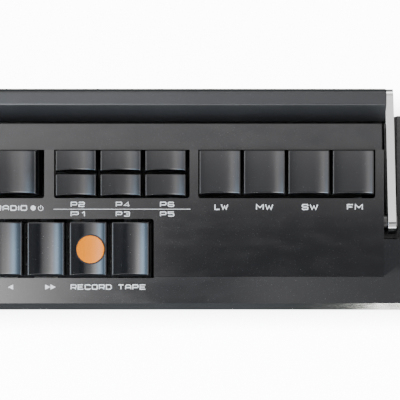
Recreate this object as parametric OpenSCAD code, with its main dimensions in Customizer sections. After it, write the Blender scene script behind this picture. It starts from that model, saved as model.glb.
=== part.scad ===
// Portable stereo radio cassette recorder with a fold-down carrying handle.
// X runs to the right along the front, Y to the rear, Z up. The origin is under the middle of the cabinet.

/* [Cabinet] */
// Width across the side faces
body_w = 400; // [396:1:408]
// Depth from the front face to the rear face
body_d = 88; // [88:1:92]
// Height of the control panel above the table
panel_z = 232; // [230:1:240]
// Wall thickness of both cabinet halves
wall = 2.6; // [2.4:0.1:2.8]
// Radius of the upright corners
corner_r = 5; // [4:0.5:6]
// Height of the rubber feet
foot_h = 4; // [3:0.5:5]

/* [Keys] */
// Distance between two transport keys
transport_pitch = 18.95; // [18.6:0.05:19]
// Width of a transport key
transport_w = 16.4; // [15.8:0.1:16.6]
// Height of every key above the control panel
key_rise = 3; // [2:0.25:3.5]
// Depth of the hollow along a key's top
key_dish = 0.9; // [0.5:0.1:1.2]

/* [Handle] */
// Thickness of the metal arms
arm_t = 3.6; // [3:0.1:3.8]
// Angle by which the folded arms slope down to the rear
arm_slope = 3; // [2:0.5:3.5]
// How far the folded grip stands out behind the cabinet
grip_overhang = 12; // [11:0.5:13]

/* [Front] */
// Width of a speaker grille
grille_w = 116; // [110:1:118]
// Height of a speaker grille
grille_h = 150; // [140:1:150]
// Width of the cassette door
door_w = 124.8; // [122:0.2:125]
// Height of the cassette door
door_h = 102.8; // [100:0.2:103]

/* [Hidden] */
$fn = 64;
half_w = body_w / 2;
front_y = -body_d / 2;
rear_y = body_d / 2;
wall_y = front_y + wall;          // inner face of the front wall
seam_y = -28.8;                   // front edge of the control panel
split_y = -12;                    // plane where the two cabinet halves meet
panel_rear_y = 28.3;              // rear edge of the control panel
panel_t = 3;
panel_half = half_w - 20;         // the panel spans the middle of the top
under_panel = panel_z - panel_t;
ledge_y = 39.9;                   // rear edge of the top, where the grip's channel starts
shoulder_drop = 11;
slot_w = 6.9;
slot_drop = 21;

// keys
key_top = panel_z + key_rise;
key_skirt = 6;                    // how far a key's skirt reaches below the panel's top
key_h = key_rise + key_skirt;
rim = 0.6;                        // flat edge on each side of the hollow
front_hollow = 0.5;               // how far a key's front edge bows in
row_front = 8.5;
row_rear = 28;
well_front = 6.5;
transport_front = -28.1;
transport_rear = -4.2;
transport_last_x = 65.95;         // middle of the rightmost transport key
transport_half = 76.4;            // half width of the transport well
shaft_y = 3;
shaft_z = panel_z - 7;
shaft_r = 1.5;
mark_r = 6.5;
mark_x = 0.7;                     // the record disc sits a little right of its key's middle
radio_left = 5.2;
band_left = 97;
band_pitch = 19.95;
band_w = 18.3;
preset_left = 32.5;
preset_pitch = 20.1;
preset_w = 18;
preset_split = [17.3, 18.9];      // gap between the two preset rows
slider_x = [-147, -90, -33];
slider_y = 17.3;
slider_slot = 46;

// handle
pivot_y = -4.3;
pivot_z = panel_z - 8;
pivot_r = 2.5;
arm_h = 11;
arm_splay = 1;                    // the arms stand out a little towards the front
arm_gap = 2.2;
arm_x = panel_half + arm_gap;     // inner face of the right arm at its pivot
grip_half = panel_half + 1.4;
grip_rear = rear_y + grip_overhang;

// front
grille_x = 128;
grille_z = 97;
speaker_r = 52;
cone_r = 44;
door_z = 55.6;                    // lower edge of the door
door_t = 3;
door_axis_y = front_y + 1.8;
door_axis_z = door_z + 2;
door_pin_r = 1.2;
window_w = 98;
window_h = 54;
window_z = 97;
dial_x = 24;
dial_z = 201;
dial_w = 324;
dial_h = 30;
knob_x = -162;
knob_r = 16;
knob_rise = grip_overhang;        // the tuning knob stands out as far as the grip does
drum_r = 12;
screw_at = [[174, 178], [84, 178], [174, 14]];

// tape deck
deck_y = -24.5;                   // front face of the deck's steel plate
deck_t = 1.5;
deck_half = 70;
deck_z = [60, 172];
hub_x = 21.25;
hub_z = 91.6;
capstan_x = -24;
capstan_z = 119;
capstan_r = 1.2;
flywheel_r = 27;
pulley_x = 38;
pulley_z = 140;
pulley_r = 4;
roller_r = 6.5;
roller_gap = 6;
roller_z = capstan_z + capstan_r + roller_r + roller_gap;
pinch_x = -46;
pinch_z = roller_z + 3;
bridge_y = -13;
boss_at = [[67, 66.5], [67, 165]];

// electronics and power
board_z = 206;
board_t = 1.6;
bay_half = 95;
bay_y = 6;
bay_z = [8, 79];
cell_r = 16.3;
cell_l = 61;
cover_t = 2.2;
jack_x = -140;

// telescopic aerial
aerial_x = -193.9;
aerial_y = 34;
aerial_top = panel_z - shoulder_drop;
aerial_r = 3;
aerial_l = 148;
aerial_step = 0.5;                // each tube is this much slimmer than the one around it
aerial_clear = 0.05;

module black() { color("#2a2b2e") children(); }
module key_black() { color("#1d2126") children(); }
module chrome() { color("#d5d8da") children(); }
module steel() { color("#a9adb2") children(); }

// ---------- shared shapes ----------

// A box given by its two corners
module box(low, high) { translate(low) cube(high - low); }

// A flat outline with round corners, centred
module rounded_rect(w, h, r) {
    square([w - 2 * r, h], center = true);
    square([w, h - 2 * r], center = true);
    for (x = [-1, 1], y = [-1, 1]) translate([x * (w / 2 - r), y * (h / 2 - r)]) circle(r);
}

// A plate standing on edge, facing the front: centred at x and z, from y0 to y1
module front_plate(w, h, r, x, z, y0, y1) {
    translate([x, y1, z]) rotate([90, 0, 0]) linear_extrude(y1 - y0) rounded_rect(w, h, r);
}

// Rods along Y and along X
module rod_y(r, x, z, y0, y1) { translate([x, y0, z]) rotate([-90, 0, 0]) cylinder(r = r, h = y1 - y0); }
module rod_x(r, y, z, x0, x1) { translate([x0, y, z]) rotate([0, 90, 0]) cylinder(r = r, h = x1 - x0); }

// An outline in Y and Z, extruded along X from x0 to x1
module along_x(x0, x1) { translate([x0, 0, 0]) rotate([90, 0, 90]) linear_extrude(x1 - x0) children(); }

// The same thing on both sides of the cabinet
module both_sides() {
    children();
    mirror([1, 0, 0]) children();
}

// ---------- cabinet ----------

// The cabinet's section through depth and height, inset by i: the front top edge has two bevels
function cabinet_section(i) = [
    [front_y + i, foot_h + i], [front_y + i, panel_z - 5 - 0.5 * i], [front_y + 3.1 + 0.8 * i, panel_z - 2.1 - i],
    [seam_y, panel_z - i], [rear_y - i, panel_z - i], [rear_y - i, foot_h + i]];

module cabinet_solid(i) {
    intersection() {
        translate([0, 0, foot_h]) linear_extrude(panel_z)
            rounded_rect(body_w - 2 * i, body_d - 2 * i, corner_r - i);
        along_x(-half_w, half_w) polygon(cabinet_section(i));
    }
}

// Everything that is stepped down from the top for the handle, grown by g
module recesses(g) {
    both_sides() {
        box([panel_half - g, split_y - g, panel_z - shoulder_drop - g], [half_w + 1, rear_y + 1, panel_z + 1]);
        box([panel_half - g, split_y - g, panel_z - slot_drop - g],
            [panel_half + slot_w + g, rear_y + 1, panel_z + 1]);
    }
    box([-panel_half - g, ledge_y - g, panel_z - slot_drop - g], [panel_half + g, rear_y + 1, panel_z + 1]);
    // the top's narrower rear strip and its round corners
    both_sides() {
        box([panel_half - 1.1, panel_rear_y, panel_z - slot_drop], [panel_half + 1, rear_y, panel_z + 1]);
        difference() {
            box([panel_half - 3.1, ledge_y - 2, panel_z - slot_drop], [panel_half + 1, rear_y, panel_z + 1]);
            translate([panel_half - 3.1, ledge_y - 2, 0]) cylinder(r = 2, h = panel_z + 2);
        }
    }
}

// Sockets in the rear wall, grown by g: one flat mains inlet and two round jacks
module sockets(g) {
    box([jack_x - 11 - g, rear_y - 12 - g, 18 - g], [jack_x + 11 + g, rear_y + 1, 32 + g]);
    for (z = [58, 86]) rod_y(7.5 + g, jack_x, z, rear_y - 7 - g, rear_y + 1);
}

module panel_opening() {
    box([-panel_half, seam_y, under_panel], [panel_half, panel_rear_y, panel_z + 1]);
}

module front_cabinet() {
    black() difference() {
        union() {
            difference() {
                intersection() {
                    cabinet_solid(0);
                    box([-half_w, front_y, 0], [half_w, split_y, panel_z]);
                }
                difference() {
                    cabinet_solid(wall);
                    box([-half_w, split_y - wall, panel_z - shoulder_drop - wall],
                        [-panel_half + wall, split_y + 1, panel_z]);
                    box([panel_half - wall, split_y - wall, panel_z - shoulder_drop - wall],
                        [half_w, split_y + 1, panel_z]);
                }
            }
            both_sides() {
                for (s = screw_at) rod_y(4, s[0], s[1], wall_y - 0.5, split_y);
                for (b = boss_at) rod_y(3, b[0], b[1], wall_y - 0.5, deck_y);
                // hinge bosses of the cassette door
                box([door_w / 2 + 0.6, front_y + 1, door_z - 1], [door_w / 2 + 6.4, front_y + 5, door_z + 6.4]);
                // ledge that carries the control panel's front edge
                box([transport_half + 2, seam_y - 3, under_panel - 2.4], [panel_half - 3, seam_y + 2.6, under_panel]);
            }
        }
        panel_opening();
        // room for the transport keys as they tip forward
        box([-transport_half, seam_y - 0.6, under_panel - 2.4], [transport_half, seam_y + 1, panel_z + 1]);
        both_sides() {
            front_plate(grille_w - 4, grille_h - 4, 7, grille_x, grille_z, front_y - 1, wall_y + 1);
            front_plate(grille_w + 0.4, grille_h + 0.4, 9, grille_x, grille_z, front_y - 1, front_y + 1);
            for (s = screw_at) rod_y(1.5, s[0], s[1], split_y - 24, split_y + 1);
            for (b = boss_at) rod_y(1.2, b[0], b[1], deck_y - 8, deck_y + 1);
            rod_x(door_pin_r + 0.05, door_axis_y, door_axis_z, door_w / 2, door_w / 2 + 5);
        }
        front_plate(door_w + 1.2, door_h + 2, 1, 0, door_z + door_h / 2 - 0.4, front_y - 1, wall_y + 1);
        front_plate(dial_w, dial_h, 2, dial_x, dial_z, front_y - 1, front_y + 2);
        front_plate(dial_w - 8, dial_h - 8, 2, dial_x, dial_z, front_y, wall_y + 1);
        rod_y(3.1, knob_x, dial_z, front_y - 1, wall_y + 1);
    }
}

module rear_cabinet() {
    black() difference() {
        union() {
            difference() {
                intersection() {
                    cabinet_solid(0);
                    box([-half_w, split_y, 0], [half_w, rear_y, panel_z]);
                }
                difference() {
                    cabinet_solid(wall);
                    recesses(wall);
                    sockets(2);
                    box([-bay_half - 2, bay_y - 2, 0], [bay_half + 2, rear_y, bay_z[1] + 2]);
                }
            }
            both_sides() {
                for (s = screw_at) rod_y(5.2, s[0], s[1], split_y, rear_y - 0.5);
                // blocks that hold the handle's pivot screws
                box([panel_half - 8, split_y + 1, pivot_z - 8], [panel_half - 1, pivot_y + 8, under_panel]);
            }
            // shelf that the aerial's outer tube stands on
            box([-half_w + 1, aerial_y - 5, aerial_top - aerial_l - 7], [-half_w + 11, rear_y - 1, aerial_top - aerial_l - 3]);
            // ledge that carries the control panel's rear edge
            box([-panel_half + 4, panel_rear_y - 2.4, under_panel - 2.4], [0, panel_rear_y + 1, panel_z - 1]);
        }
        recesses(0);
        sockets(0);
        panel_opening();
        box([-bay_half, bay_y, bay_z[0]], [bay_half, rear_y + 1, bay_z[1]]);
        both_sides() {
            for (s = screw_at) {
                rod_y(1.8, s[0], s[1], split_y - 1, rear_y);
                rod_y(3.9, s[0], s[1], -4, rear_y + 1);
            }
            rod_x(pivot_r, pivot_y, pivot_z, panel_half - 9, panel_half + 1);
        }
        translate([aerial_x, aerial_y, aerial_top - 5]) cylinder(r = aerial_r + 0.5, h = 6);
    }
}

// A cut through the control panel for keys that stand between x0 and x1, with round front corners
module key_well(x0, x1) {
    r = 1.2;
    box([x0, well_front + r, under_panel - 1], [x1, panel_rear_y + 1, panel_z + 1]);
    box([x0 + r, well_front, under_panel - 1], [x1 - r, panel_rear_y, panel_z + 1]);
    for (x = [x0 + r, x1 - r]) translate([x, well_front + r, under_panel - 1]) cylinder(r = r, h = panel_t + 2);
}

module control_panel() {
    black() difference() {
        union() {
            box([-panel_half, seam_y + 0.15, under_panel], [panel_half, panel_rear_y, panel_z]);
            // lugs that carry the transport keys' shaft
            both_sides() box([transport_half + 0.6, 0, panel_z - 11], [transport_half + 3.4, 6, under_panel + 0.5]);
            // posts that hold the circuit board
            for (x = [-170, -90, 29.3, 94.4]) translate([x, 9.5, board_z + board_t])
                cylinder(r = 1.9, h = under_panel - board_z - board_t + 0.5);
        }
        // wells of the radio key, the presets and the wave-band keys
        key_well(radio_left - 1.3, radio_left + band_w + 3.6);
        key_well(preset_left - 1, preset_left + 2 * preset_pitch + preset_w + 1.8);
        key_well(band_left - 0.6, band_left + 3 * band_pitch + band_w + 0.9);
        // transport well, open to the front
        box([-transport_half, seam_y - 1, under_panel - 1], [transport_half, transport_rear + 0.2, panel_z + 1]);
        box([-transport_half + 1.2, seam_y, under_panel - 1], [transport_half - 1.2, transport_rear + 1.4, panel_z + 1]);
        for (x = [-1, 1]) translate([x * (transport_half - 1.2), transport_rear + 0.2, under_panel - 1])
            cylinder(r = 1.2, h = panel_t + 2);
        // slider trays and slots
        for (x = slider_x) {
            box([x - slider_slot / 2 - 4, slider_y - 9.6, panel_z - 1.2],
                [x + slider_slot / 2 + 4, slider_y + 9.6, panel_z + 1]);
            box([x - slider_slot / 2, slider_y - 1.2, under_panel - 1], [x + slider_slot / 2, slider_y + 1.2, panel_z]);
        }
        // slots in front of the microphone
        for (i = [0:5]) box([-142 + 4 * i, -20, under_panel - 1], [-140.4 + 4 * i, -10, panel_z + 1]);
        rod_x(shaft_r, shaft_y, shaft_z, -transport_half - 3, transport_half + 3);
    }
}

module cabinet_screws() {
    steel() both_sides() {
        for (s = screw_at) difference() {
            union() {
                rod_y(1.5, s[0], s[1], split_y - 22, -3.9);
                rod_y(3.4, s[0], s[1], -4, -1.6);
            }
            for (turn = [0, 90]) translate([s[0], -1.6, s[1]]) rotate([0, turn, 0]) cube([4, 2, 0.8], center = true);
        }
        for (b = boss_at) difference() {
            union() {
                rod_y(1.2, b[0], b[1], deck_y - 6, deck_y + deck_t + 0.1);
                rod_y(2.4, b[0], b[1], deck_y + deck_t, deck_y + deck_t + 1.6);
            }
            translate([b[0], deck_y + deck_t + 1.6, b[1]]) cube([3, 1.4, 0.6], center = true);
        }
    }
}

module rubber_feet() {
    color("#151515") for (x = [-1, 1], y = [-1, 1]) translate([x * (half_w - 30), y * (rear_y - 16), 0]) {
        cylinder(r1 = 7.2, r2 = 8, h = 1);
        translate([0, 0, 1]) cylinder(r = 8, h = foot_h - 1);
    }
}

module battery_cover() {
    black() difference() {
        union() {
            box([-bay_half + 0.4, rear_y - cover_t, bay_z[0] + 1.5], [bay_half - 0.4, rear_y, bay_z[1] - 0.4]);
            // rounded lower edge that the cover tips on
            rod_x(cover_t / 2, rear_y - cover_t / 2, bay_z[0] + 1.5, -bay_half + 0.4, bay_half - 0.4);
        }
        // finger notch and grip ribs
        rod_y(9, 0, bay_z[1] + 2, rear_y - 1.2, rear_y + 1);
        for (i = [0:4]) box([-22, rear_y - 0.8, 50 + 3 * i], [22, rear_y + 1, 51.4 + 3 * i]);
    }
}

module battery_cells() {
    for (row = [0, 1], i = [-1:1])
        translate([i * cell_l, rear_y - cover_t - cell_r - 0.6, bay_z[0] + 0.6 + cell_r + row * (2 * cell_r + 1.6)])
            rotate([0, row == 0 ? 90 : -90, 0]) {
        color("#3c4a58") translate([0, 0, -cell_l / 2 + 0.2]) cylinder(r = cell_r, h = cell_l - 2.2);
        color("silver") translate([0, 0, cell_l / 2 - 2.2]) cylinder(r = 4.6, h = 1.8);
    }
}

// ---------- speakers ----------

module grille(side) {
    slats = 24;
    pitch = (grille_h - 14) / slats;
    color("#3a3c3f") difference() {
        front_plate(grille_w, grille_h, 8.8, side * grille_x, grille_z, front_y - 0.8, front_y + 1);
        for (i = [0:slats - 1]) {
            z = grille_z - grille_h / 2 + 7 + (i + 0.5) * pitch;
            box([side * grille_x - grille_w / 2 + 6, front_y - 2, z - pitch * 0.3],
                [side * grille_x + grille_w / 2 - 6, front_y + 2, z + pitch * 0.3]);
        }
    }
}

// A driver's steel basket with its magnet, turned about the Y axis
module speaker_frame() {
    rotate([90, 0, 0]) rotate_extrude() polygon([
        [cone_r + 3, 0], [speaker_r, 0], [speaker_r, -1.8], [cone_r + 4.6, -1.8], [32, -20], [32, -34], [0, -34],
        [0, -21], [28, -21], [cone_r + 3, -2]]);
}

module speaker_frames() {
    color("#55585c") both_sides() translate([grille_x, wall_y, grille_z]) speaker_frame();
}

module speaker_cones() {
    color("#222222") both_sides() translate([grille_x, wall_y, grille_z]) rotate([90, 0, 0]) {
        rotate_extrude() polygon([
            [14, -14], [cone_r - 5, -2.6], [cone_r - 2.4, -1], [cone_r + 0.4, -1.6], [cone_r + 2.4, -1],
            [cone_r + 2.4, -1.9], [cone_r + 0.4, -2.4], [cone_r - 2.4, -1.8], [cone_r - 5, -3.4], [14, -15], [0, -15],
            [0, -9.4], [6, -10], [11, -11.8]]);
    }
}

// ---------- cassette door ----------

module cassette_door() {
    black() {
        difference() {
            union() {
                front_plate(door_w, door_h, 1, 0, door_z + door_h / 2, front_y - 0.5, front_y - 0.5 + door_t);
                // finger lip along the top
                box([-18, front_y - 2, door_z + door_h - 5], [18, front_y, door_z + door_h - 2]);
            }
            front_plate(window_w, window_h, 5, 0, window_z, front_y - 2, wall_y + 1);
            front_plate(window_w + 5, window_h + 5, 7, 0, window_z, front_y - 2, front_y + 0.9);
        }
        // pocket that holds the cassette by its sides and lower edge
        both_sides() {
            box([51, front_y + 2.4, 62], [53.4, -27.2, 128]);
            box([47.5, -28.2, 62], [51.2, -27.2, 128]);
            rod_x(door_pin_r, door_axis_y, door_axis_z, door_w / 2 - 2, door_w / 2 + 4.4);
        }
        box([-53.4, front_y + 2.4, 60], [53.4, -27.2, 62]);
    }
}

module door_window() {
    color([0.25, 0.27, 0.3, 0.45])
        front_plate(window_w + 4.6, window_h + 4.6, 6.8, 0, window_z, front_y - 0.6, front_y + 0.9);
}

// ---------- tuning dial ----------

module dial_scale() {
    color("#101214") {
        front_plate(dial_w, dial_h + 6, 1, dial_x, dial_z, front_y + 8, front_y + 9.4);
        for (x = [-1, 1], z = [-1, 1]) rod_y(2, dial_x + x * (dial_w / 2 - 3), dial_z + z * (dial_h / 2), wall_y, front_y + 8.2);
    }
}

module dial_window() {
    color([0.5, 0.55, 0.6, 0.35])
        front_plate(dial_w - 0.4, dial_h - 0.4, 1.8, dial_x, dial_z, front_y, front_y + 2);
}

module dial_pointer() {
    color("#e8641e") {
        box([dial_x - 0.8, front_y + 4.6, dial_z - 12], [dial_x + 0.8, front_y + 6.6, dial_z + 12]);
        box([dial_x - 5, front_y + 4.6, dial_z + 12], [dial_x + 5, front_y + 7.6, dial_z + 16.5]);
    }
}

module tuning_knob() {
    chrome() {
        translate([knob_x, front_y - knob_rise, dial_z]) rotate([-90, 0, 0]) rotate_extrude() polygon([
            [0, 0.6], [knob_r - 4, 0.6], [knob_r - 3, 0], [knob_r - 1.2, 0], [knob_r, 1.2], [knob_r, knob_rise - 0.6],
            [0, knob_rise - 0.6]]);
        rod_y(3, knob_x, dial_z, front_y - 0.7, front_y + 10);
        // drum that winds the pointer's drive cord
        difference() {
            rod_y(drum_r + 1, knob_x, dial_z, front_y + 10, front_y + 14);
            translate([knob_x, front_y + 12, dial_z]) rotate([90, 0, 0])
                rotate_extrude() translate([drum_r + 1.4, 0]) circle(r = 1.4, $fn = 24);
        }
    }
}

// ---------- keys ----------

// A key cap with a hollow along its top. Its front top edge is at y = 0 and its middle at x = 0.
// Its skirt widens downwards by left, right and front.
module key_cap(w, d, left, right, front) {
    half = w / 2 - rim;
    dish_r = (half * half + key_dish * key_dish) / (2 * key_dish);
    bow_r = (w * w / 4 + front_hollow * front_hollow) / (2 * front_hollow);
    difference() {
        intersection() {
            along_x(-w, w) polygon([[-front, 0], [d, 0], [d, key_h], [0, key_h]]);
            translate([0, d + 1, 0]) rotate([90, 0, 0]) linear_extrude(d + front + 2)
                polygon([[-w / 2 - left, 0], [w / 2 + right, 0], [w / 2, key_h], [-w / 2, key_h]]);
        }
        translate([0, -front - 1, key_h + dish_r - key_dish]) rotate([-90, 0, 0])
            cylinder(r = dish_r, h = d + front + 2, $fn = 128);
        translate([0, -bow_r + front_hollow, key_h]) rotate([atan(-front / key_h), 0, 0])
            translate([0, 0, -2 * key_h]) cylinder(r = bow_r, h = 3 * key_h, $fn = 128);
    }
}

// A key that slides straight down onto its switch
module push_key(left_x, w, y0, y1, right = 0.5) {
    key_black() translate([left_x + w / 2, y0, panel_z - key_skirt]) {
        key_cap(w, y1 - y0, 0.2, right, 0.9);
        translate([-2.5, (y1 - y0) / 2 - 2, -10.3]) cube([5, 4, 10.8]);
    }
}

module preset_key(n) {
    column = floor((n - 1) / 2);
    rear = n % 2 == 0;
    push_key(preset_left + column * preset_pitch, preset_w,
        rear ? preset_split[1] : row_front - 0.8, rear ? row_rear : preset_split[0]);
}

function transport_x(i) = transport_last_x - (7 - i) * transport_pitch;

// A transport key: a cap on an arm that tips about the shaft behind it, with a tail that works the deck
module transport_key(i) {
    x = transport_x(i);
    key_black() difference() {
        union() {
            translate([x, transport_front, panel_z - key_skirt])
                key_cap(transport_w, transport_rear - transport_front, 0.3, 0.4, 0);
            box([x - 3, transport_rear - 2, shaft_z - 3], [x + 3, shaft_y, shaft_z + 3]);
            rod_x(3, shaft_y, shaft_z, x - 3, x + 3);
            box([x - 1, -17, panel_z - 24], [x + 1, -12, panel_z - key_skirt + 1]);
        }
        rod_x(shaft_r + 0.05, shaft_y, shaft_z, x - 4, x + 4);
        if (i == 6) mark_pocket();
    }
}

module mark_pocket() {
    translate([transport_x(6) + mark_x, (transport_front + transport_rear) / 2, key_top - 3])
        cylinder(r = mark_r + 0.3, h = 4);
}

// The coloured disc of the record key, hollowed like the key around it
module record_mark() {
    half = transport_w / 2 - rim;
    dish_r = (half * half + key_dish * key_dish) / (2 * key_dish);
    color("#f08a2c") difference() {
        translate([transport_x(6) + mark_x, (transport_front + transport_rear) / 2, key_top - 3])
            cylinder(r = mark_r, h = 3);
        translate([transport_x(6), transport_rear, key_top + dish_r - key_dish + 0.1]) rotate([90, 0, 0])
            cylinder(r = dish_r, h = transport_rear - transport_front, $fn = 128);
    }
}

module key_shaft() {
    steel() rod_x(shaft_r, shaft_y, shaft_z, -transport_half - 3, transport_half + 3);
}

module slider(i) {
    x = slider_x[i];
    key_black() {
        difference() {
            along_x(x - 5.5, x + 5.5) polygon([
                [slider_y - 7.5, panel_z - 0.9], [slider_y + 7.5, panel_z - 0.9], [slider_y + 6.8, panel_z + 4],
                [slider_y - 6.8, panel_z + 4]]);
            translate([x, slider_y + 8, panel_z + 11.4]) rotate([90, 0, 0]) cylinder(r = 8.4, h = 16);
        }
        box([x - 2, slider_y - 0.9, panel_z - 10], [x + 2, slider_y + 0.9, panel_z - 0.8]);
    }
}

// ---------- handle ----------

module handle_grip() {
    black() along_x(-grip_half, grip_half) polygon([
        [41.2, panel_z - 14], [41.2, panel_z - 9.5], [48.8, panel_z - 2], [grip_rear - 1.6, panel_z - 2],
        [grip_rear, panel_z - 3.6], [grip_rear, panel_z - 12.4], [grip_rear - 2.6, panel_z - 15],
        [42.2, panel_z - 15]]);
}

// A flat bar with round ends, from the pivot back to the grip
module handle_arm() {
    reach = grip_rear - pivot_y;
    chrome() difference() {
        translate([arm_x, pivot_y, pivot_z]) rotate([0, 0, arm_splay]) rotate([-arm_slope, 0, 0]) along_x(0, arm_t) {
            circle(r = arm_h / 2);
            translate([0, -arm_h / 2]) square([reach - 4.2, arm_h]);
            translate([reach - 4.2, 0]) intersection() {
                circle(r = arm_h / 2);
                translate([-1, -arm_h / 2]) square([5, arm_h]);
            }
        }
        rod_x(pivot_r + 0.05, pivot_y, pivot_z, arm_x - 1, arm_x + arm_t + 1);
    }
}

module handle_pivots() {
    steel() both_sides() difference() {
        union() {
            rod_x(pivot_r, pivot_y, pivot_z, panel_half - 7.5, arm_x + arm_t + 0.3);
            rod_x(4.2, pivot_y, pivot_z, arm_x + arm_t + 0.2, arm_x + arm_t + 0.85);
            // spacer between the cabinet and the arm
            rod_x(4, pivot_y, pivot_z, panel_half + 0.05, arm_x - 0.2);
        }
        translate([arm_x + arm_t + 0.85, pivot_y, pivot_z]) cube([0.8, 6, 1], center = true);
    }
}

// ---------- telescopic aerial ----------

// The collar that guides the aerial through the cabinet's shoulder
module aerial_collar() {
    chrome() translate([aerial_x, aerial_y, aerial_top - 3]) difference() {
        union() {
            cylinder(r = aerial_r + 0.4, h = 4);
            translate([0, 0, 3]) cylinder(r = aerial_r + 1.6, h = 1);
        }
        translate([0, 0, -1]) cylinder(r = aerial_r - aerial_step, h = 6);
    }
}

// One tube of the aerial: stage 0 is fixed in the cabinet, and stage 1 slides up out of it
module aerial_tube(stage) {
    bottom = aerial_top - aerial_l - 3 + 2 * stage;
    top = aerial_top - 3 + (stage == 0 ? 0 : 4.6);
    outer = aerial_r - stage * (aerial_step + aerial_clear);
    chrome() translate([aerial_x, aerial_y, bottom]) difference() {
        cylinder(r = outer, h = top - bottom);
        translate([0, 0, stage == 0 ? 1 : -1]) cylinder(r = aerial_r - (stage + 1) * aerial_step, h = top - bottom + 2);
    }
}

module aerial_rod() {
    bottom = aerial_top - aerial_l + 3;
    chrome() translate([aerial_x, aerial_y, bottom]) {
        cylinder(r = aerial_r - 2 * aerial_step - aerial_clear, h = aerial_l);
        translate([0, 0, aerial_l - 1]) rotate_extrude() polygon([
            [0, 0], [2.6, 0], [3, 0.5], [3, 3.6], [2.4, 4.6], [1.2, 5.2], [0, 5.4]]);
    }
}

// ---------- tape deck ----------

module deck_chassis() {
    steel() difference() {
        union() {
            box([-deck_half, deck_y, deck_z[0]], [deck_half, deck_y + deck_t, deck_z[1]]);
            // rear bridge on four posts
            box([-57, bridge_y, 98], [57, bridge_y + 1.2, 162]);
            for (x = [-54.5, 54.5], z = [101, 159]) rod_y(2.5, x, z, deck_y + 1, bridge_y + 0.5);
            // pivot of the pinch arm, and bearing sleeves
            rod_y(2, pinch_x, pinch_z, deck_y - 8, deck_y + 0.5);
            rod_y(4, capstan_x, capstan_z, deck_y, deck_y + 4);
            for (x = [-hub_x, hub_x]) rod_y(4, x, hub_z, deck_y, deck_y + 4);
        }
        rod_y(capstan_r + 0.05, capstan_x, capstan_z, deck_y - 1, bridge_y + 2);
        for (x = [-hub_x, hub_x]) rod_y(2.05, x, hub_z, deck_y - 1, deck_y + 5);
        rod_y(5.5, pulley_x, pulley_z, bridge_y - 1, bridge_y + 2);
        for (b = boss_at) both_sides() rod_y(1.3, b[0], b[1], deck_y - 1, deck_y + 3);
        // guide slots of the head carriage
        for (x = [-4, 26]) box([x - 1.6, deck_y - 1, 140], [x + 1.6, deck_y + 3, 156]);
    }
}

// A reel spindle: a turntable, a hub with three splines, and its shaft
module spindle(x) {
    color("#e9e6dc") translate([x, 0, hub_z]) {
        rod_y(11, 0, 0, deck_y - 3, deck_y - 0.8);
        rod_y(3.6, 0, 0, deck_y - 9.5, deck_y - 2.5);
        rod_y(1.9, 0, 0, deck_y - 11.5, deck_y - 9);
        rod_y(2, 0, 0, deck_y - 1, deck_y + 4.4);
        for (turn = [0, 120, 240]) rotate([0, turn, 0]) box([-0.6, deck_y - 9, 0], [0.6, deck_y - 2.9, 4.8]);
    }
}

module capstan_flywheel() {
    steel() {
        rod_y(capstan_r, capstan_x, capstan_z, deck_y - 11, bridge_y + 1);
        difference() {
            rod_y(flywheel_r, capstan_x, capstan_z, deck_y + 5, bridge_y - 1.2);
            // turned groove in the rear face
            difference() {
                rod_y(22, capstan_x, capstan_z, bridge_y - 2.6, bridge_y);
                rod_y(8, capstan_x, capstan_z, bridge_y - 3, bridge_y);
            }
        }
    }
}

module pinch_roller_arm() {
    y0 = deck_y - 2.6;
    steel() difference() {
        union() {
            rod_y(4, pinch_x, pinch_z, y0, deck_y - 1);
            translate([pinch_x, y0, pinch_z]) rotate([0, atan((pinch_z - roller_z) / (capstan_x - pinch_x)), 0])
                translate([0, 0, -3]) cube([22, 1.6, 6]);
            rod_y(3, capstan_x, roller_z, y0, deck_y - 1);
            rod_y(1, capstan_x, roller_z, deck_y - 12, y0 + 1);
        }
        rod_y(2.05, pinch_x, pinch_z, deck_y - 4, deck_y);
    }
}

module pinch_roller() {
    color("#1a1a1a") difference() {
        rod_y(roller_r, capstan_x, roller_z, deck_y - 11, deck_y - 3);
        rod_y(1.05, capstan_x, roller_z, deck_y - 12, deck_y);
    }
}

// The sliding plate with the erase head and the record and play head
module head_carriage() {
    steel() {
        box([-12, deck_y - 1.5, 138], [32, deck_y - 0.3, 162]);
        for (x = [-4, 26]) box([x - 1.4, deck_y - 0.5, 149], [x + 1.4, deck_y + 2, 155]);
        // record and play head with its tape guide
        box([-6, deck_y - 12, 131], [6, deck_y - 2.6, 141]);
        box([-8, deck_y - 2.8, 132.5], [8, deck_y - 1.4, 139]);
        // erase head
        box([15, deck_y - 11, 132], [24, deck_y - 1.4, 140]);
    }
}

module deck_motor() {
    color("#8f9398") difference() {
        union() {
            rod_y(15, pulley_x, pulley_z, bridge_y + 1.2, bridge_y + 26);
            rod_y(5, pulley_x, pulley_z, bridge_y + 26, bridge_y + 28);
        }
        rod_y(1.05, pulley_x, pulley_z, bridge_y, bridge_y + 12);
    }
}

module motor_pulley() {
    color("#c9a24a") {
        rod_y(pulley_r, pulley_x, pulley_z, deck_y + 5, bridge_y - 1.2);
        rod_y(1, pulley_x, pulley_z, bridge_y - 1.3, bridge_y + 10);
    }
}

// The rubber belt's outline, standing off both pulleys by g
module belt_outline(g) {
    hull() {
        translate([capstan_x, capstan_z]) circle(r = flywheel_r + g, $fn = 72);
        translate([pulley_x, pulley_z]) circle(r = pulley_r + g, $fn = 36);
    }
}

module drive_belt() {
    color("#111111") translate([0, deck_y + 9.4, 0]) rotate([90, 0, 0]) linear_extrude(2.4) difference() {
        belt_outline(1.5);
        belt_outline(0.4);
    }
}

// ---------- circuit board ----------

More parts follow.
